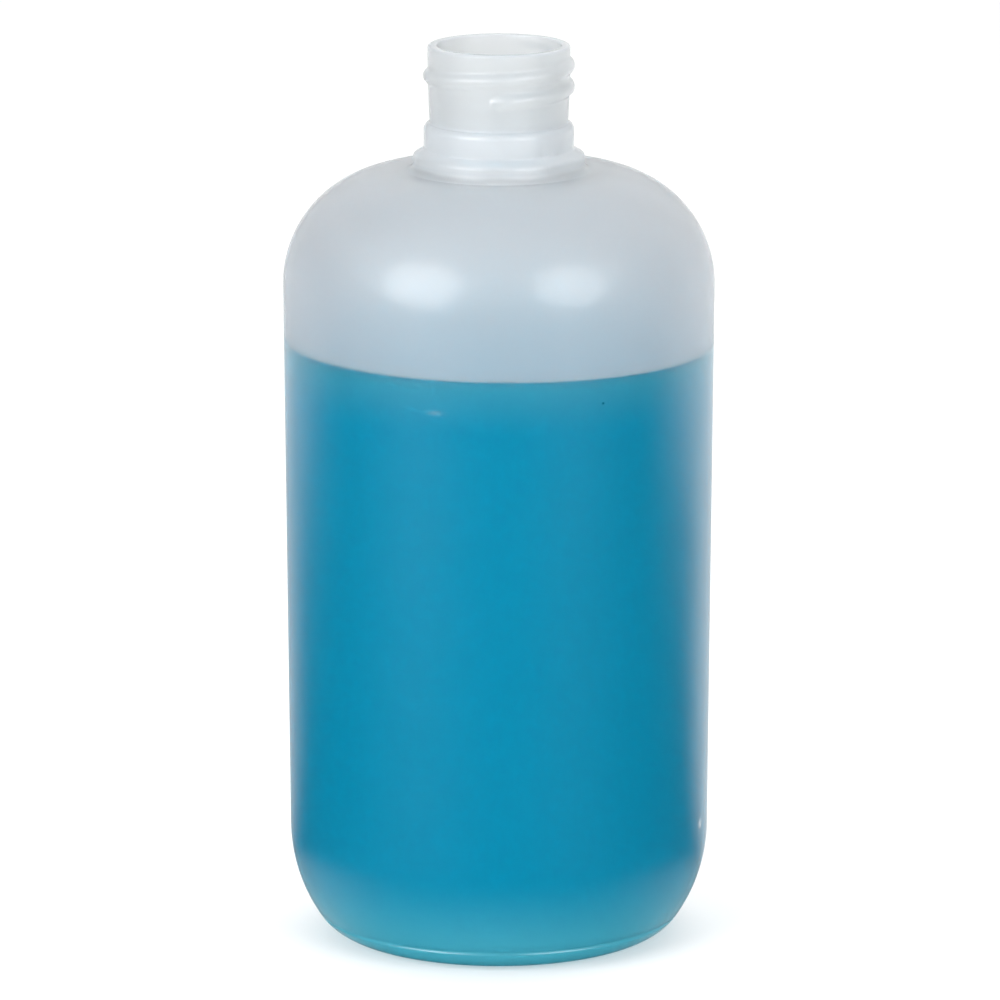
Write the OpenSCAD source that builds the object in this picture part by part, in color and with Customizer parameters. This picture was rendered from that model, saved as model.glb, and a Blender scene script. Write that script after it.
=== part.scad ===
// Boston round bottle: one blow-moulded piece with an open screw neck, part filled with liquid.
// The base stands on z = 0, the bottle's axis is the z axis, and the front is towards -y.

/* [Body] */
// Height from the table to the rim
overall_h = 141.8; // [125:0.1:180]
// Outer diameter where the shoulder starts
shoulder_dia = 67.4; // [60:0.1:80]
// Outer diameter where the heel starts, a little less because the body has draft
heel_dia = 66; // [60:0.1:80]
// Radius of the round shoulder
shoulder_r = 18; // [14:0.1:20]
// Wall thickness of the body
wall = 1; // [0.7:0.05:1.8]

/* [Heel and base] */
// Large radius of the heel, next to the body
heel_r = 25.4; // [18:0.1:30]
// Angle over which the large radius turns
heel_turn = 34; // [20:1:50]
// Small radius of the heel, next to the table
foot_r = 7.4; // [4:0.1:9]
// Width of the flat ring that the bottle stands on
ring_w = 2; // [1:0.1:4]
// Height of the dome pushed up inside the ring
push_up_h = 1.7; // [1:0.1:3]
// Angle of the mould's parting line, to the right of the front
seam_turn = 35; // [0:1:90]
// Length of the pinched weld across the base
pinch_len = 27; // [10:1:30]
// Width of the pinched weld
pinch_w = 0.8; // [0.4:0.1:1.5]
// How far the pinched weld stands out of the dome
pinch_h = 0.35; // [0.2:0.05:0.6]

/* [Neck] */
// Height of the neck, from the crown of the shoulder to the rim
neck_h = 19.6; // [18:0.1:24]
// Inner diameter of the neck
bore_dia = 19.4; // [15:0.1:20]
// Diameter of the neck wall under the thread
neck_dia = 21.6; // [21.2:0.1:23]
// Diameter of the neck wall at the mouth
mouth_dia = 22.2; // [21.2:0.1:23]
// Height of the plain mouth above the tapered wall
mouth_h = 4.6; // [2:0.1:6]
// Rounding of the rim's outer edge
lip_round = 0.5; // [0.2:0.05:0.5]
// Rounding of the rim's inner edge
bore_round = 0.3; // [0.1:0.05:0.3]
// Diameter of the bead under the thread
bead_dia = 23.4; // [23.2:0.1:25]
// Height of the bead
bead_h = 4.1; // [3:0.1:5]
// Rounding of the bead's upper edge, which runs into the wall
bead_round = 1.3; // [0.9:0.05:1.8]
// Diameter of the collar that the bead stands on
collar_dia = 26.8; // [25.4:0.1:28]
// Height of the collar's edge above the crown of the shoulder
collar_h = 2.7; // [1.6:0.1:3]
// Rise of the collar's top face from its edge to the bead
collar_rise = 0.7; // [0.3:0.1:1.2]
// Rounding of the collar's edge
collar_round = 0.8; // [0.2:0.05:0.8]
// Fillet where the collar meets the shoulder
collar_fillet = 1.2; // [0.3:0.1:1.5]
// Fillet inside, where the bore opens into the shoulder
root_fillet = 3; // [1:0.1:3]

/* [Thread] */
// Diameter over the crests of the thread
thread_dia = 23.6; // [23.4:0.1:24]
// Rise of the thread in one turn
thread_pitch = 3.35; // [2.8:0.05:3.5]
// Number of turns
thread_turns = 1.5; // [1:0.25:1.75]
// Height of the thread's section where it leaves the wall
thread_w = 3; // [2:0.1:3.1]
// Depth from the rim to the middle of the thread, at its upper end
thread_drop = 2.4; // [2.2:0.1:3.2]
// Angle over which each end of the thread fades into the wall
thread_fade = 16; // [10:1:40]

/* [Liquid] */
// Height of the liquid's surface above the table
fill_h = 95.1; // [40:0.1:115]
// Clearance between the liquid and the wall
liquid_gap = 0.05; // [0.02:0.01:0.2]

/* [Hidden] */
$fn = 144;

arc_steps = 16;                              // points along each large rounding
edge_steps = 5;                              // points along each small rounding
thread_step = 7.5;                           // degrees between sections of the thread
thread_rows = 8;                             // strips across the thread's section
sink = 0.4;                                  // how far joined shapes reach into the wall

foot_fillet = min(collar_fillet, collar_h - collar_round);
shoulder_round = min(shoulder_r, (shoulder_dia - collar_dia) / 2 - foot_fillet);
crown_z = overall_h - neck_h;
shoulder_z = crown_z - shoulder_round;
crown_r = shoulder_dia / 2 - shoulder_round;
heel_z = foot_r + (heel_r - foot_r) * sin(heel_turn);
draft = atan((shoulder_dia - heel_dia) / 2 / (shoulder_z - heel_z));

heel_c = [heel_dia / 2 - heel_r, heel_z];
foot_c = heel_c + (heel_r - foot_r) * [cos(heel_turn), -sin(heel_turn)];
shoulder_c = [crown_r, shoulder_z];

push_up_rim = foot_c[0] - ring_w;            // radius where the dome starts
dome_r = (pow(push_up_rim, 2) + pow(push_up_h, 2)) / (2 * push_up_h);
dome_z = push_up_h - dome_r;                 // centre of the dome's sphere

collar_z = crown_z + collar_h;
bead_z = collar_z + collar_rise;
bead_top = bead_z + bead_h;
bead_step = (bead_dia - neck_dia) / 2;
bead_arc = max(bead_round, bead_step);
bead_turn = acos(1 - bead_step / bead_arc);  // angle at which the rounding meets the wall
bead_edge_z = bead_top - bead_arc * sin(bead_turn);
mouth_z = overall_h - mouth_h;

// Points along an arc about c, from angle a to angle b
function arc(c, r, a, b, n) = [for (i = [0 : n]) let(t = a + (b - a) * i / n) c + r * [cos(t), sin(t)]];

// The dome of the base, from the middle outwards, with its surface raised by lift
function dome(lift) =
    let(r = dome_r + lift, edge = asin(sqrt(pow(push_up_rim, 2) + 2 * lift * push_up_h) / r))
    arc([0, dome_z], r, 90, 90 - edge, arc_steps);

// Heel, side and shoulder, from the table up to the crown, moved inwards by inset
function side(inset) = concat(
    arc(foot_c, foot_r - inset, -90, -heel_turn, arc_steps),
    arc(heel_c, heel_r - inset, -heel_turn, -draft, arc_steps),
    arc(shoulder_c, shoulder_round - inset, -draft, 90, 2 * arc_steps));

// Outside of the neck, from the crown of the shoulder up to the rim
function neck_outside() = concat(
    arc([collar_dia / 2 + foot_fillet, crown_z + foot_fillet], foot_fillet, 270, 180, edge_steps),
    arc([collar_dia / 2 - collar_round, collar_z - collar_round], collar_round, 0, 55, edge_steps),
    [[bead_dia / 2, bead_z]],
    arc([bead_dia / 2 - bead_arc, bead_edge_z], bead_arc, 0, bead_turn, edge_steps),
    [[mouth_dia / 2, mouth_z]],
    arc([mouth_dia / 2 - lip_round, overall_h - lip_round], lip_round, 0, 90, edge_steps));

// Inside of the neck, from the rim down to the underside of the crown
function neck_inside() = concat(
    arc([bore_dia / 2 + bore_round, overall_h - bore_round], bore_round, 90, 180, edge_steps),
    arc([bore_dia / 2 + root_fillet, crown_z - wall + root_fillet], root_fillet, 180, 270, arc_steps));

// Half section of the hollow body and neck
function shell_outline() = concat(
    dome(0), side(0), neck_outside(), neck_inside(),
    reversed(side(wall)), reversed(dome(wall)));

function reversed(list) = [for (i = [len(list) - 1 : -1 : 0]) list[i]];

// Half section of the space inside, up to the crown, kept gap away from the wall
function hollow_outline(gap) = concat(
    dome(wall + gap), side(wall + gap), [[0, crown_z - wall - gap]]);

// Angle where the thread starts, at the front, and the height of its middle there
thread_start = -97;
thread_low = overall_h - thread_drop - thread_pitch * thread_turns;
thread_root = min(neck_dia, mouth_dia) / 2 - sink / 2;

// One section across the thread: an arched crest and a back sunk in the wall
function thread_section(turn) =
    let(angle = thread_start + 360 * turn,
        mid = thread_low + thread_pitch * turn,
        left = 360 * min(turn, thread_turns - turn) / thread_fade,
        crest = (thread_dia / 2 - thread_root) * sqrt(min(1, left)))
    [for (k = [-1 : thread_rows + 1])
        let(back = k < 0 || k > thread_rows,
            s = max(-1, min(1, 2 * k / thread_rows - 1)),
            r = back ? thread_root - sink : thread_root + crest * (1 - s * s))
        [r * cos(angle), r * sin(angle), mid + s * thread_w / 2]];

module thread() {
    steps = ceil(360 * thread_turns / thread_step);
    ring = thread_rows + 3;
    points = [for (i = [0 : steps]) each thread_section(thread_turns * i / steps)];
    sides = [for (i = [0 : steps - 1], k = [0 : ring - 1])
        let(a = i * ring + k, b = i * ring + (k + 1) % ring)
        each [[a, b + ring, a + ring], [a, b, b + ring]]];
    ends = [[for (k = [ring - 1 : -1 : 0]) k], [for (k = [0 : ring - 1]) steps * ring + k]];
    polyhedron(points, concat(sides, ends), convexity = 6);
}

// The weld that the mould pinched across the dome, along the parting line
module pinch_weld() {
    rotate([0, 0, seam_turn - 90])
        intersection() {
            rotate_extrude() polygon(concat(dome(-pinch_h), reversed(dome(wall / 2))));
            translate([-pinch_len / 2, -pinch_w / 2, 0]) cube([pinch_len, pinch_w, push_up_h + wall]);
        }
}

module bottle() {
    color([0.86, 0.90, 0.93]) {
        rotate_extrude() polygon(shell_outline());
        thread();
        pinch_weld();
    }
}

module liquid() {
    color([0.0, 0.53, 0.68])
        rotate_extrude()
            intersection() {
                polygon(hollow_outline(liquid_gap));
                square([max(shoulder_dia, heel_dia), fill_h]);
            }
}

bottle();
liquid();
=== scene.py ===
import math

import bpy
import numpy as np
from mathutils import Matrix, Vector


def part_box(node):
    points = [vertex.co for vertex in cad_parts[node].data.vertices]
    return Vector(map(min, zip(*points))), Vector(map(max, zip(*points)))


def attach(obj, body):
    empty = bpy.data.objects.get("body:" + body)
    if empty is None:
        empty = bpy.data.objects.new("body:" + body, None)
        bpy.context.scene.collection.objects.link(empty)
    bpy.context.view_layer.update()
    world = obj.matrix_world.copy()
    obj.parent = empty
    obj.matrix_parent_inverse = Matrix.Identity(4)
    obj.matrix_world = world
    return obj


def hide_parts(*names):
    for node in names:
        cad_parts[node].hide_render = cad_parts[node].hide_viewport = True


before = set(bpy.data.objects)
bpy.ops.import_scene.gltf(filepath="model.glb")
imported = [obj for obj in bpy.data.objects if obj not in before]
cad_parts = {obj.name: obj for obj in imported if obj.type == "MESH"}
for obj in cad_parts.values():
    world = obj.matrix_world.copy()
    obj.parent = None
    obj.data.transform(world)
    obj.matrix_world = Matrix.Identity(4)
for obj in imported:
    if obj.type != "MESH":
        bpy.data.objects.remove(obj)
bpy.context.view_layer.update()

mm = 0.001
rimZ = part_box("bottle")[1][2]               # top of the rim
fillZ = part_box("liquid")[1][2]              # where the liquid meets the wall
print("frame loaded, rim at", round(rimZ / mm, 2), "mm, liquid up to", round(fillZ / mm, 2), "mm")


def displayColour(red, green, blue):
    # what a screen shows as 0 to 255, turned into Blender's linear colour: ((c + 0.055) / 1.055) ** 2.4
    shown = np.array([red, green, blue]) / 255
    linear = np.where(shown <= 0.04045, shown / 12.92, ((shown + 0.055) / 1.055) ** 2.4)
    return (*[float(v) for v in linear], 1.0)


class Wire:
    # one output socket; arithmetic on it adds Math nodes
    def __init__(self, shader, socket):
        self.shader, self.socket = shader, socket

    def calc(self, operation, *values):
        return self.shader.calc(operation, *values)

    def __add__(self, other):
        return self.calc("ADD", self, other)

    def __radd__(self, other):
        return self.calc("ADD", other, self)

    def __sub__(self, other):
        return self.calc("SUBTRACT", self, other)

    def __rsub__(self, other):
        return self.calc("SUBTRACT", other, self)

    def __mul__(self, other):
        return self.calc("MULTIPLY", self, other)

    def __rmul__(self, other):
        return self.calc("MULTIPLY", other, self)

    def __truediv__(self, other):
        return self.calc("DIVIDE", self, other)

    def __rtruediv__(self, other):
        return self.calc("DIVIDE", other, self)

    def bell(self):
        # exp(-x * x): 1 at zero, falling off to either side
        return self.calc("EXPONENT", -1.0 * self * self)


class Shader:
    # the node tree of one material or world, emptied first
    def __init__(self, owner):
        owner.use_nodes = True
        self.tree = owner.node_tree
        self.tree.nodes.clear()

    def node(self, kind, settings=None, sockets=None, output=0):
        # one node: its settings first, then its sockets' values or links
        made = self.tree.nodes.new(kind)
        for name, value in (settings or {}).items():
            setattr(made, name, value)
        for name, value in (sockets or {}).items():
            if isinstance(value, Wire):
                self.tree.links.new(value.socket, made.inputs[name])
            else:
                made.inputs[name].default_value = value
        return Wire(self, made.outputs[output]) if len(made.outputs) else made

    def calc(self, operation, *values):
        return self.node("ShaderNodeMath", {"operation": operation}, dict(enumerate(values)))

    def smooth(self, value, low, high):
        # 0 below low, 1 above high and an S-curve between
        return self.node("ShaderNodeMapRange", {"interpolation_type": "SMOOTHSTEP"},
                         {"Value": value, "From Min": low, "From Max": high})

    def fade(self, value, limits):
        # the same S-curve, for a height and limits in millimetres
        return self.smooth(value, limits[0] * mm, limits[1] * mm)

    def blendColour(self, factor, first, second):
        return self.node("ShaderNodeMix", {"data_type": "RGBA"},
                         {0: factor, 6: first, 7: second}, output=2)

    def axes(self, coordinate="Object"):
        # a point of the surface in metres, whole and as its x, y and z; in a world it is a direction
        point = self.node("ShaderNodeTexCoord", output=coordinate)
        split = self.node("ShaderNodeSeparateXYZ", sockets={0: point})
        parts = split.socket.node.outputs
        return point, Wire(self, parts[0]), Wire(self, parts[1]), Wire(self, parts[2])


# The bottle's wall, as sizes in millimetres
bottleSizes = {
    "shoulderRadius": 33.7,                 # outer radius of the body under the shoulder
    "heelRadius": 33.0,                     # outer radius of the body above the heel
    "shoulderRound": 18.0,
    "heelRound": 25.4,
    "footRound": 7.4,
    "heelTurn": 34.0,                       # degrees turned by the heel's large rounding
    "ringWidth": 2.0,
    "pushUp": 1.7,
    "wall": 1.0,
    "neckHeight": 19.6,                     # crown of the shoulder to the rim
    "boreRadius": 9.7,
    "neckRadius": 10.8,
    "mouthRadius": 11.1,
    "mouthHeight": 4.6,
    "beadRadius": 11.7,
    "beadHeight": 4.1,
    "beadRound": 1.3,
    "collarRadius": 13.4,
    "collarHeight": 2.7,
    "collarRise": 0.7,
    "collarRound": 0.8,
    "collarFillet": 1.2,
    "cove": 0.35,                           # small fillet at the foot of the bead and above it
    "lipRound": 0.5,
    "boreRound": 0.3,
    "rootRound": 3.0,                       # flare of the bore into the shoulder
}
threadSizes = {
    "crestRadius": 11.8,
    "pitch": 3.35,
    "turns": 1.5,
    "width": 3.0,
    "sunk": 0.2,                            # how far its root lies inside the wall
    "drop": 2.4,                            # rim to the middle of the thread's upper end
    "fade": 16.0,                           # degrees over which an end fades out
    "startAngle": -97.0,
    "blend": 0.35,                          # fillet between thread and wall
}
seamSizes = {
    "angle": -55.0,                         # parting line of the mould, seen from above
    "height": 0.008,
    "width": 0.22,
    "neckHeight": 0.02,                     # flash is proudest on the collar and bead
    "weldLength": 27.0,
    "weldWidth": 0.8,
    "weldHeight": 0.35,
}
# How finely the surfaces are cut
gridSizes = {
    "columns": 232,
    "seamColumns": (-1.44, -0.8, -0.448, -0.192, 0.0, 0.192, 0.448, 0.8, 1.44),
    "leastTurn": 0.12,                      # degrees between two columns
    "threadStep": 0.19,                     # millimetres between rows over the thread and bead
    "neckStep": 0.4,
    "bodyStep": 3.2,
    "insideStep": 2.4,
    "liquidStep": 3.0,
    "liquidColumns": 192,
    "liquidRings": 40,
}


def arcPoints(centre, radius, first, last, count):
    # centre + radius * (cos a, sin a), for angles a in degrees from first to last
    angle = np.radians(np.linspace(first, last, count + 1))
    return np.stack([centre[0] + radius * np.cos(angle), centre[1] + radius * np.sin(angle)], axis=1)


def bodyCentres(size, top):
    # centres of the foot, heel and shoulder roundings and the draft angle, from tangency
    crown = top - size["neckHeight"]
    shoulder = np.array([size["shoulderRadius"] - size["shoulderRound"], crown - size["shoulderRound"]])
    turn = math.radians(size["heelTurn"])
    reach = size["heelRound"] - size["footRound"]
    heel = np.array([size["heelRadius"] - size["heelRound"], size["footRound"] + reach * math.sin(turn)])
    foot = heel + reach * np.array([math.cos(turn), -math.sin(turn)])
    lean = (size["shoulderRadius"] - size["heelRadius"]) / (shoulder[1] - heel[1])
    return foot, heel, shoulder, math.degrees(math.atan(lean)), crown


def domeOutline(size, foot, lift, count=14):
    # circle arc over the pushed-up base, from the axis outwards, raised by lift
    rim = foot[0] - size["ringWidth"]
    radius = (rim ** 2 + size["pushUp"] ** 2) / (2 * size["pushUp"])
    reach = math.sqrt(rim ** 2 + 2 * lift * size["pushUp"])
    edge = math.degrees(math.asin(reach / (radius + lift)))
    return arcPoints((0, size["pushUp"] - radius), radius + lift, 90, 90 - edge, count)


def sideOutline(size, centres, inset):
    # foot, heel and shoulder arcs, each radius less by inset, joined by the straight side
    foot, heel, shoulder, draft, crown = centres
    return np.concatenate([
        arcPoints(foot, size["footRound"] - inset, -90, -size["heelTurn"], 14),
        arcPoints(heel, size["heelRound"] - inset, -size["heelTurn"], -draft, 18),
        arcPoints(shoulder, size["shoulderRound"] - inset, -draft, 90, 40)])


def neckOutline(size, crown, top):
    # collar with its fillet and rounded edge, bead, tapered wall and rounded lip, going up
    collarTop = crown + size["collarHeight"]
    beadFoot = collarTop + size["collarRise"]
    beadTop = beadFoot + size["beadHeight"]
    collar, edge, fillet = size["collarRadius"], size["collarRound"], size["collarFillet"]
    bead, curve, cove, lip = size["beadRadius"], size["beadRound"], size["cove"], size["lipRound"]
    # the bead's rounding ends where a cove touches both it and the wall
    edgeZ = beadTop - math.sqrt(curve ** 2 - (size["neckRadius"] - bead + curve) ** 2)
    inward = size["neckRadius"] + cove - bead + curve
    turn = math.degrees(math.acos(inward / (curve + cove)))
    coveZ = edgeZ + (curve + cove) * math.sin(math.radians(turn))
    return np.concatenate([
        arcPoints((collar + fillet, crown + fillet), fillet, 270, 180, 8),
        arcPoints((collar - edge, collarTop - edge), edge, 0, 55, 6),
        arcPoints((bead + cove, beadFoot + cove * 0.52), cove, 235, 180, 5),
        arcPoints((bead - curve, edgeZ), curve, 0, turn, 8),
        arcPoints((size["neckRadius"] + cove, coveZ), cove, 180 + turn, 180, 5),
        [[size["mouthRadius"], top - size["mouthHeight"]]],
        arcPoints((size["mouthRadius"] - lip, top - lip), lip, 0, 90, 8)])


def boreOutline(size, crown, top):
    # rounded inner lip, straight bore and the flare into the shoulder, going down
    edge, root = size["boreRound"], size["rootRound"]
    return np.concatenate([
        arcPoints((size["boreRadius"] + edge, top - edge), edge, 90, 180, 5),
        arcPoints((size["boreRadius"] + root, crown - size["wall"] + root), root, 180, 270, 12)])


def refine(points, step):
    # cuts each stretch of an outline that is longer than step(z) into equal parts
    pieces = []
    for first, last in zip(points[:-1], points[1:]):
        length = float(np.hypot(*(last - first)))
        count = max(1, math.ceil(length / step((first[1] + last[1]) / 2)))
        share = np.linspace(0, 1, count + 1)[:-1, None]
        pieces.append(first + (last - first) * share)
    return np.concatenate(pieces + [points[-1:]])


def columnAngles(seam):
    # even columns all round, with closer ones beside the parting line on both sides
    even = np.linspace(0, 360, gridSizes["columns"], endpoint=False)
    close = [seam + half + beside for half in (0, 180) for beside in gridSizes["seamColumns"]]
    angles = np.unique(np.round(np.mod(np.concatenate([even, close]), 360), 4))
    keep = np.diff(np.append(angles, angles[0] + 360)) > gridSizes["leastTurn"]
    return np.radians(angles[keep])


def threadSurface(angle, height, top):
    # radius of the thread's arch at each angle and height: root + crest * (1 - s * s), over both passes
    size = threadSizes
    root = bottleSizes["neckRadius"] - size["sunk"]
    low = top - size["drop"] - size["pitch"] * size["turns"]
    surface = np.full(np.broadcast(angle, height).shape, -1.0)
    for lap in range(math.ceil(size["turns"])):
        turn = np.mod(np.degrees(angle) - size["startAngle"], 360) / 360 + lap
        ends = np.minimum(turn, size["turns"] - turn) * 360 / size["fade"]
        crest = (size["crestRadius"] - root) * np.sqrt(np.clip(ends, 0, 1))
        across = (height - low - size["pitch"] * turn) / (size["width"] / 2)
        arch = root + crest * (1 - across ** 2)
        surface = np.maximum(surface, np.where((ends > 0) & (abs(across) < 1.6), arch, -1.0))
    return surface


def softMaximum(first, second, blend):
    # the larger of two surfaces, with a fillet where they cross
    share = np.clip(0.5 + 0.5 * (second - first) / blend, 0, 1)
    return first * (1 - share) + second * share + blend * share * (1 - share)


def seamLift(radius, angle, height, crown, top):
    # a low ridge across the parting plane: height * exp(-(d / width) ** 2), proudest round the collar
    across = radius * np.sin(angle - math.radians(seamSizes["angle"]))
    ridge = np.exp(-(across / seamSizes["width"]) ** 2)
    collar = np.exp(-((height - crown - 2.0) / 1.4) ** 2)
    ends = np.clip((top - 1.0 - height) / 1.5, 0, 1) * np.clip(height / 3.0, 0, 1)
    return ridge * ends * (seamSizes["height"] + seamSizes["neckHeight"] * collar)


def weldLift(radius, angle):
    # the pinched weld under the dome: a flat-topped bar along the parting plane
    turned = angle - math.radians(seamSizes["angle"])
    across = np.abs(radius * np.sin(turned)) - seamSizes["weldWidth"] / 2
    along = np.abs(radius * np.cos(turned)) - seamSizes["weldLength"] / 2
    side = np.clip(0.5 - across / 0.3, 0, 1)
    end = np.clip(0.5 - along / 0.8, 0, 1)
    return seamSizes["weldHeight"] * side * end


def revolvedMesh(name, radius, height, angles):
    # rows of one ring each, closed by a pole at the first and the last row: x = r cos a, y = r sin a
    rows, columns = radius.shape
    ring = np.stack([radius * np.cos(angles), radius * np.sin(angles), height], axis=2)
    ends = np.array([[0, 0, height[0].mean()], [0, 0, height[-1].mean()]])
    points = np.concatenate([ring.reshape(-1, 3), ends]) * mm
    start = np.arange(columns)
    after = (start + 1) % columns
    step = np.arange(rows - 1)[:, None] * columns
    quads = np.stack([start + step, after + step, after + step + columns,
                      start + step + columns], axis=2)
    last = (rows - 1) * columns
    firstFan = np.stack([np.full(columns, rows * columns), after, start], axis=1)
    lastFan = np.stack([start + last, after + last, np.full(columns, rows * columns + 1)], axis=1)
    corners = np.concatenate([quads.reshape(-1), firstFan.reshape(-1), lastFan.reshape(-1)])
    sides = np.concatenate([np.full((rows - 1) * columns, 4), np.full(2 * columns, 3)])
    mesh = bpy.data.meshes.new(name)
    mesh.vertices.add(len(points))
    mesh.vertices.foreach_set("co", points.reshape(-1))
    mesh.loops.add(len(corners))
    mesh.loops.foreach_set("vertex_index", corners.astype(np.int32))
    mesh.polygons.add(len(sides))
    starts = np.concatenate([[0], np.cumsum(sides)[:-1]])
    mesh.polygons.foreach_set("loop_start", starts.astype(np.int32))
    mesh.polygons.foreach_set("use_smooth", np.ones(len(sides), dtype=bool))
    mesh.update(calc_edges=True)
    mesh.validate()
    piece = bpy.data.objects.new(name, mesh)
    bpy.context.scene.collection.objects.link(piece)
    print(name, "has", len(points), "points and", len(sides), "faces")
    return piece


def outsideStep(height, crown):
    # how closely the outside is cut: fine over the neck, wider down the body
    if height > crown + 7.2:
        return gridSizes["threadStep"]
    return gridSizes["neckStep"] if height > crown - 1 else gridSizes["bodyStep"]


def makeBottle():
    size, top = bottleSizes, rimZ / mm
    centres = bodyCentres(size, top)
    foot, crown = centres[0], centres[4]
    under = domeOutline(size, foot, 0)
    side = sideOutline(size, centres, 0)
    outside = np.concatenate([under, side, neckOutline(size, crown, top)])
    inside = np.concatenate([
        boreOutline(size, crown, top),
        sideOutline(size, centres, size["wall"])[::-1],
        domeOutline(size, foot, size["wall"])[::-1]])
    outside = refine(outside[1:], lambda height: outsideStep(height, crown))
    inside = refine(inside[:-1], lambda height: gridSizes["insideStep"])
    angles = columnAngles(seamSizes["angle"])[None, :]
    radius = outside[:, :1] + 0 * angles
    height = outside[:, 1:] + 0 * angles
    isNeck = height > crown + size["collarHeight"] + size["collarRise"] + size["beadHeight"]
    isDome = (radius < foot[0] - size["ringWidth"]) & (height < size["pushUp"] + 0.1)
    thread = softMaximum(radius, threadSurface(angles, height, top), threadSizes["blend"])
    radius = np.where(isNeck & (height < top - 0.6), thread, radius)
    radius = radius + np.where(isDome, 0, seamLift(radius, angles, height, crown, top))
    height = height - np.where(isDome, weldLift(radius, angles), 0)
    radius = np.concatenate([radius, inside[:, :1] + 0 * angles])
    height = np.concatenate([height, inside[:, 1:] + 0 * angles])
    return revolvedMesh("blown_bottle", radius, height, angles)


liquidSizes = {
    "overlap": 0.12,                        # how far it wets into the wall, so that no air shows between
    "meniscus": 0.6,                        # climb at the wall
    "meniscusReach": 1.3,
    "lean": 0.65,                           # degrees by which the level drops to the right, as in the photo
}


def makeLiquid():
    # the hollow's own outline up to the wetted line, then the surface:
    # z = level + climb * exp(-(R - r) / reach) - tan(lean) * x
    size, level = bottleSizes, fillZ / mm
    centres = bodyCentres(size, rimZ / mm)
    inset = size["wall"] - liquidSizes["overlap"]
    hollow = [domeOutline(size, centres[0], inset), sideOutline(size, centres, inset)]
    side = refine(np.concatenate(hollow), lambda height: gridSizes["liquidStep"])
    wet = side[side[:, 1] < level - 1.5][1:]
    wallRadius = float(np.interp(level, side[:-40, 1], side[:-40, 0]))
    inward = wallRadius * (1 - np.linspace(0, 1, gridSizes["liquidRings"])[:-1] ** 2)
    fall = 1 - np.exp((inward - wallRadius) / liquidSizes["meniscusReach"])
    surface = level - liquidSizes["meniscus"] * fall
    angles = np.radians(np.linspace(0, 360, gridSizes["liquidColumns"], endpoint=False))[None, :]
    drop = math.tan(math.radians(liquidSizes["lean"])) * inward[:, None] * np.cos(angles)
    radius = np.concatenate([wet[:, 0], inward])[:, None] + 0 * angles
    height = np.concatenate([wet[:, 1:] + 0 * angles, surface[:, None] - drop])
    return revolvedMesh("blue_liquid", radius, height, angles)


plasticLook = {
    "tintAbove": displayColour(254, 254, 255),
    "tintNeck": displayColour(249, 250, 248),
    # the next is painted light: the liquid's blue light in the wall just above the level
    "paintedLevelGlow": displayColour(239, 246, 252),
    "tintBelow": displayColour(252, 253, 254),
    "roughAbove": 0.55,
    "roughBelow": 0.34,
    "roughSpread": 0.05,                    # by how much the grain varies it
    "wetEdge": (-0.4, 0.6),                 # from wet to dry over these heights, measured from the level
    "levelGlowReach": 22.0,                     # painted blue light from the liquid fades over this height above the level
    "neckFade": (22.0, 16.0),               # the neck's tint starts and is full this far under the rim
    "beadFade": (10.5, 12.5),
    "collarFade": (0.5, 3.4),               # above the crown of the shoulder
    "footHeight": 1.3,                      # the collar's lower edge above the crown
    "footReach": 0.3,
    "lipFade": (0.7, 0.1),
    "rippleScale": 62.0,                    # slow waves of the blown wall
    "ripple": 0.9,
    "grainScale": 2600.0,
    "grain": 0.012,
    "relief": 0.35,
    "reliefDepth": 0.6,
    "ior": 1.5,
    "gloss": 0.28,                          # the smoother skin outside
    "glossRough": 0.18,
    "skinRough": 0.07,                      # where it scatters, its skin gives crisp glints
    "milk": 0.1,                            # share of light that the dry wall scatters
    "milkNeck": 0.21,                       # and the thicker wall of the neck
    "milkBead": 0.14,                       # more in the bead and collar
    "footGlowMilk": 0.14,                       # and on the collar's lower edge, a painted glow that lightens the crease there
    "milkLip": 0.12,                        # and on the rim
    "milkColour": displayColour(211, 216, 222),
    "markAndGlintColour": displayColour(255, 255, 255),
    "speckColour": displayColour(60, 90, 100),
}
# Small marks on the front and one painted highlight, as in the photo: place and half size in millimetres,
# and how milky
milkyMarksAndGlint = {
    # the first is a painted highlight: a white milky dot for the glint at the thread's end
    "paintedThreadGlint": {"x": -1.07, "z": 134.67, "wide": 0.4, "tall": 0.16, "milk": 0.6},
    "smudge": {"x": -9.77, "z": 90.14, "wide": 1.1, "tall": 0.4, "milk": 0.08},
    "spot": {"x": 31.65, "z": 19.23, "wide": 0.22, "tall": 0.75, "milk": 0.5},
    "flash": {"x": 7.6, "z": 125.9, "wide": 0.45, "tall": 0.2, "milk": 0.4},
}
speckMark = {"x": 15.94, "z": 91.15, "wide": 0.2, "tall": 0.2}


def spot(look, x, y, z, mark):
    # exp(-(dx * dx + dz * dz)) round a mark on the front, 0 on the back
    across, up = (x / mm - mark["x"]) / mark["wide"], (z / mm - mark["z"]) / mark["tall"]
    return look.calc("EXPONENT", -1.0 * (across * across + up * up)) * look.calc("LESS_THAN", y, 0.0)


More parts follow.
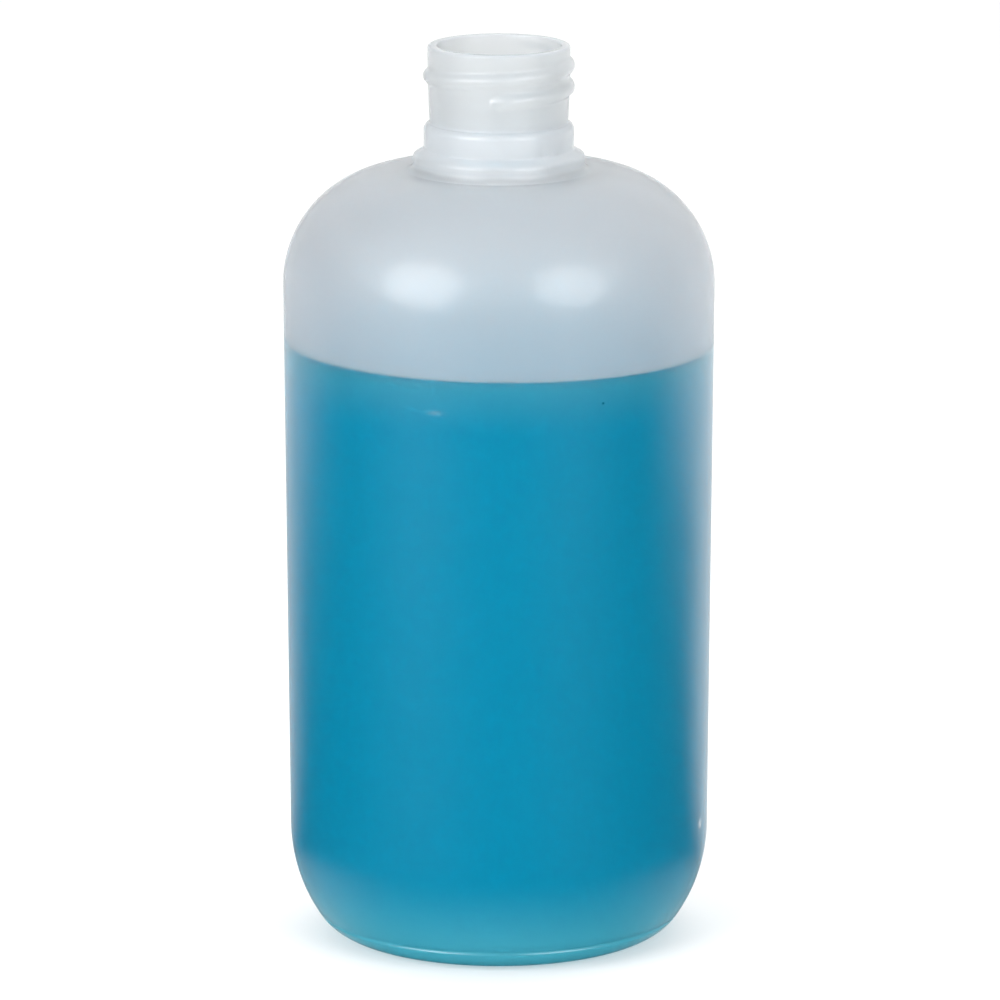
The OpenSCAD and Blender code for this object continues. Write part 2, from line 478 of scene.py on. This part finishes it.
def naturalPlastic():
    # milky, satin plastic: rougher where it is dry inside, clearer where the liquid wets it
    material = bpy.data.materials.new("natural_plastic")
    look = Shader(material)
    point, x, y, z = look.axes()
    under, crown = rimZ - z, rimZ - bottleSizes["neckHeight"] * mm
    wetLow, wetHigh = plasticLook["wetEdge"]
    lean = math.tan(math.radians(liquidSizes["lean"]))
    dry = look.smooth(z + x * lean, fillZ + wetLow * mm, fillZ + wetHigh * mm)
    ripple = look.node("ShaderNodeTexNoise", output="Fac", sockets={
        "Vector": point, "Scale": plasticLook["rippleScale"], "Detail": 1.0})
    grain = look.node("ShaderNodeTexNoise", output="Fac", sockets={
        "Vector": point, "Scale": plasticLook["grainScale"], "Detail": 2.0})
    bump = look.node("ShaderNodeBump", sockets={
        "Strength": plasticLook["relief"], "Distance": plasticLook["reliefDepth"] * mm,
        "Height": ripple * plasticLook["ripple"] + grain * plasticLook["grain"]})
    neck = look.fade(under, plasticLook["neckFade"])
    # painted light: a bluish tint just above the level stands in for the liquid's blue light, fading upward
    clear = look.smooth(z, fillZ, fillZ + plasticLook["levelGlowReach"] * mm)
    tint = look.blendColour(clear, plasticLook["paintedLevelGlow"], plasticLook["tintAbove"])
    tint = look.blendColour(dry, plasticLook["tintBelow"], tint)
    tint = look.blendColour(neck, tint, plasticLook["tintNeck"])
    tint = look.blendColour(spot(look, x, y, z, speckMark), tint, plasticLook["speckColour"])
    rough = plasticLook["roughBelow"] + dry * (plasticLook["roughAbove"] - plasticLook["roughBelow"])
    surface = look.node("ShaderNodeBsdfPrincipled", sockets={
        "Base Color": tint, "Roughness": rough + (grain - 0.5) * plasticLook["roughSpread"],
        "IOR": plasticLook["ior"],
        "Transmission Weight": 1.0, "Coat Weight": plasticLook["gloss"],
        "Coat Roughness": plasticLook["glossRough"], "Normal": bump})
    # milkier, whiter spots: real marks, and one painted highlight at the thread's end
    marksAndGlint = 0.0
    for mark in milkyMarksAndGlint.values():
        marksAndGlint = marksAndGlint + mark["milk"] * spot(look, x, y, z, mark)
    milk = look.node("ShaderNodeBsdfPrincipled", sockets={
        "Base Color": look.blendColour(marksAndGlint, plasticLook["milkColour"], plasticLook["markAndGlintColour"]),
        "Roughness": 0.5, "IOR": plasticLook["ior"],
        "Specular IOR Level": 0.0, "Coat Weight": 1.0, "Coat Roughness": plasticLook["skinRough"],
        "Normal": bump})
    # painted light: extra milky white in a band at the collar's foot lightens the crease there into a
    # glowing ring
    foot = ((z - crown - plasticLook["footHeight"] * mm) / (plasticLook["footReach"] * mm)).bell()
    collar = look.fade(z - crown, plasticLook["collarFade"])
    bead = look.fade(under, plasticLook["beadFade"])
    lip = look.fade(under, plasticLook["lipFade"])
    share = dry * (plasticLook["milk"] + collar * (plasticLook["milkNeck"] - plasticLook["milk"])
                   + collar * bead * plasticLook["milkBead"] + foot * plasticLook["footGlowMilk"]
                   + lip * plasticLook["milkLip"])
    mixed = look.node("ShaderNodeMixShader", sockets={0: share + marksAndGlint, 1: surface, 2: milk})
    look.node("ShaderNodeOutputMaterial", sockets={"Surface": mixed})
    return material


liquidLook = {
    "deep": displayColour(0, 139, 171),
    "top": displayColour(50, 145, 170),
    "heel": displayColour(80, 181, 200),
    "topReach": 9.0,                        # millimetres under the level
    "heelReach": 17.0,                      # and above the table
    "free": (-1.3, -1.1),                   # from the wetted side to the open surface
    "rough": 0.3,
    "ior": 1.33,
    "gloss": 0.05,
}


def blueLiquid():
    # dyed water: deepest in the middle, paler where light comes in at the surface and round the heel
    material = bpy.data.materials.new("blue_liquid")
    look = Shader(material)
    _, x, _, z = look.axes()
    nearTop = look.smooth(z, fillZ - liquidLook["topReach"] * mm, fillZ)
    nearHeel = look.smooth(z, liquidLook["heelReach"] * mm, 0.0)
    lean = math.tan(math.radians(liquidSizes["lean"]))
    free = look.fade(z + x * lean - fillZ, liquidLook["free"])
    colour = look.blendColour(nearTop, liquidLook["deep"], liquidLook["top"])
    colour = look.blendColour(nearHeel, colour, liquidLook["heel"])
    surface = look.node("ShaderNodeBsdfPrincipled", sockets={
        "Base Color": colour, "Roughness": liquidLook["rough"], "IOR": liquidLook["ior"],
        "Specular IOR Level": 0.0, "Coat Weight": free, "Coat Roughness": liquidLook["gloss"],
        "Coat IOR": liquidLook["ior"]})
    look.node("ShaderNodeOutputMaterial", sockets={"Surface": surface})
    return material


def dress(piece, material, node):
    piece.data.materials.append(material)
    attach(piece, "root")
    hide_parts(node)


floorSizes = {"half": 3.0, "drop": 0.00002}
roomLook = {
    "mirrorFront": 0.004,                   # what surfaces mirror from the camera's side
    "mirrorBack": 1.0,                      # and from behind the bottle
    "mirrorLean": 0.3,                      # and brighter on the right
    "overhead": 0.15,                       # and from above
    "aboveTurn": (0.55, 0.9),               # from level up to overhead
    "through": 0.6,                        # what shows through the plastic
    "fill": 1.25,                           # what lights the liquid from the front
    "fillLean": 0.2,                        # by how much more from the left
    "aheadTurn": (0.85, -0.3),              # from the back round to the front
    "turn": (0.12, 0.85),                   # what is mirrored, from the sides round to the back
    "turnLean": 0.2,                        # and further round on the right
    "beside": (0.075, 0.05),                # the floor close by is mirrored bright this near, in metres
    "besideTurn": (-0.9, -0.2),             # from in front round to the sides
    "besideLevel": 0.45,
    "floorTurn": (0.35, 0.82),              # and far off, from the sides round to the back
    "floorLean": 0.05,
    "farFloor": (0.3, 0.45),                # what the neck mirrors lies this far off, in metres
    "farTurn": 0.45,                        # and is bright from further forward
    "farMirror": 0.25,
    "floorWhite": 0.93,
    "floorLit": 0.4,                        # how much of the floor's light ignores the bottle's shadow
    "floorThrough": 0.765,                   # the floor as the plastic shows it behind the bottle
    "floorFill": 1.35,                      # and in front of it
    "floorAhead": 0.06,                     # which starts this far behind the axis
    "floorMirror": 1.0,                     # the floor as surfaces mirror it
}


def rayKinds(look):
    # 1 for a ray that a surface mirrored, and 1 for a ray that came through the plastic
    glossy = look.node("ShaderNodeLightPath", output="Is Glossy Ray")
    through = look.node("ShaderNodeLightPath", output="Is Transmission Ray")
    return glossy * (1.0 - through), through


def makeFloor():
    half, z = floorSizes["half"], -floorSizes["drop"]
    mesh = bpy.data.meshes.new("floor")
    corners = [(-half, -half, z), (half, -half, z), (half, half, z), (-half, half, z)]
    mesh.from_pydata(corners, [], [(0, 1, 2, 3)])
    floor = bpy.data.objects.new("floor", mesh)
    bpy.context.scene.collection.objects.link(floor)
    material = bpy.data.materials.new("pale_floor")
    look = Shader(material)
    _, x, y, _ = look.axes()
    mirrored, through = rayKinds(look)
    away = look.calc("SQRT", x * x + y * y)
    lean = x / away
    far = look.smooth(away, *roomLook["farFloor"])
    turned = y / away + lean * roomLook["floorLean"] + far * roomLook["farTurn"]
    behind = look.smooth(turned, *roomLook["floorTurn"])
    behind = behind * (1.0 + lean * roomLook["mirrorLean"] + far * roomLook["farMirror"])
    beside = look.smooth(y / away, *roomLook["besideTurn"]) * look.smooth(away, *roomLook["beside"])
    beside = beside * roomLook["besideLevel"]
    ahead = look.smooth(y, roomLook["floorAhead"], 0.0)
    shown = roomLook["floorThrough"] + ahead * (roomLook["floorFill"] - roomLook["floorThrough"])
    mirror = roomLook["mirrorFront"] + look.calc("MAXIMUM", behind, beside) * roomLook["floorMirror"]
    level = through * shown + mirrored * mirror
    tone = look.node("ShaderNodeCombineColor", sockets={0: level, 1: level, 2: level})
    white = (*[roomLook["floorWhite"]] * 3, 1.0)
    glow = look.node("ShaderNodeEmission", sockets={"Color": tone})
    paper = look.node("ShaderNodeBsdfDiffuse", sockets={"Color": white})
    lit = look.node("ShaderNodeEmission", sockets={"Color": white})
    plain = look.node("ShaderNodeMixShader", sockets={0: roomLook["floorLit"], 1: paper, 2: lit})
    surface = look.node("ShaderNodeMixShader", sockets={
        0: look.calc("MAXIMUM", through, mirrored), 1: plain, 2: glow})
    look.node("ShaderNodeOutputMaterial", sockets={"Surface": surface})
    material.cycles.emission_sampling = "NONE"
    floor.data.materials.append(material)


# The photograph's camera: where it looks, how far off and how high, and its scale in the middle
cameraSizes = {
    "aimZ": 69.34,
    "aimX": 0.17,
    "distance": 1200.0,
    "elevation": 12.7,
    "pixelsPerMm": 6.36,
    "framePixels": 1000,
    "sensor": 36.0,
}


def makeCamera():
    size = cameraSizes
    lens = bpy.data.cameras.new("camera")
    lens.sensor_fit, lens.sensor_width = "HORIZONTAL", size["sensor"]
    lens.lens = size["sensor"] * size["pixelsPerMm"] * size["distance"] / size["framePixels"]
    lens.clip_start, lens.clip_end = 0.05, 30
    tilt = math.radians(size["elevation"])
    camera = bpy.data.objects.new("camera", lens)
    camera.location = (size["aimX"] * mm, -size["distance"] * mm * math.cos(tilt),
                       (size["aimZ"] + size["distance"] * math.sin(tilt)) * mm)
    camera.rotation_euler = (math.radians(90) - tilt, 0, 0)
    bpy.context.scene.collection.objects.link(camera)
    bpy.context.scene.camera = camera


# Two soft boxes in front, high to either side: azimuth from the front to the right, elevation and power
softBoxes = {
    "left": {"azimuth": -44, "elevation": 22, "distance": 0.9, "width": 0.68, "power": 8.8},
    "right": {"azimuth": 40, "elevation": 22, "distance": 0.9, "width": 0.62, "power": 6.0},
}
boxAim = 0.1                                # height that the soft boxes face, in metres

skyLamp = {"strength": 2.5, "angle": 80.0, "tilt": -12.0}


def makeLights():
    sky = bpy.data.lights.new("overhead", "SUN")
    sky.energy, sky.angle = skyLamp["strength"], math.radians(skyLamp["angle"])
    above = bpy.data.objects.new("overhead", sky)
    above.rotation_euler = (math.radians(skyLamp["tilt"]), 0, 0)
    above.visible_glossy = above.visible_transmission = False
    bpy.context.scene.collection.objects.link(above)
    for name, box in softBoxes.items():
        lamp = bpy.data.lights.new(name, "AREA")
        lamp.shape, lamp.size, lamp.energy = "DISK", box["width"], box["power"]
        turn, rise = math.radians(box["azimuth"]), math.radians(box["elevation"])
        light = bpy.data.objects.new(name, lamp)
        away = box["distance"]
        light.location = (away * math.sin(turn) * math.cos(rise), -away * math.cos(turn) * math.cos(rise),
                          away * math.sin(rise) + boxAim)
        light.rotation_euler = (math.radians(90) - rise, 0, turn)
        bpy.context.scene.collection.objects.link(light)


def makeRoom():
    # white behind the bottle; the camera's side is dark, apart from what lights the liquid
    world = bpy.data.worlds.new("studio")
    bpy.context.scene.world = world
    look = Shader(world)
    _, x, y, z = look.axes("Generated")
    through = rayKinds(look)[1]
    seen = look.node("ShaderNodeLightPath", output="Is Camera Ray")
    behind = look.smooth(y + x * roomLook["turnLean"], *roomLook["turn"])
    above = look.smooth(z, *roomLook["aboveTurn"])
    mirror = roomLook["mirrorFront"] + behind * (roomLook["mirrorBack"] - roomLook["mirrorFront"])
    mirror = mirror * (1.0 + x * roomLook["mirrorLean"])
    room = look.calc("MAXIMUM", mirror, above * roomLook["overhead"])
    ahead = look.smooth(y, *roomLook["aheadTurn"])
    fill = roomLook["fill"] - roomLook["through"] - x * roomLook["fillLean"]
    shown = roomLook["through"] + ahead * fill
    strength = room + through * (shown - room)
    strength = strength + seen * (1.0 - strength)
    background = look.node("ShaderNodeBackground", sockets={
        "Color": (1, 1, 1, 1), "Strength": strength})
    look.node("ShaderNodeOutputWorld", sockets={"Surface": background})
    bpy.context.scene.view_settings.view_transform = "Standard"


makeCamera()
dress(makeBottle(), naturalPlastic(), "bottle")
dress(makeLiquid(), blueLiquid(), "liquid")
makeFloor()
makeLights()
makeRoom()
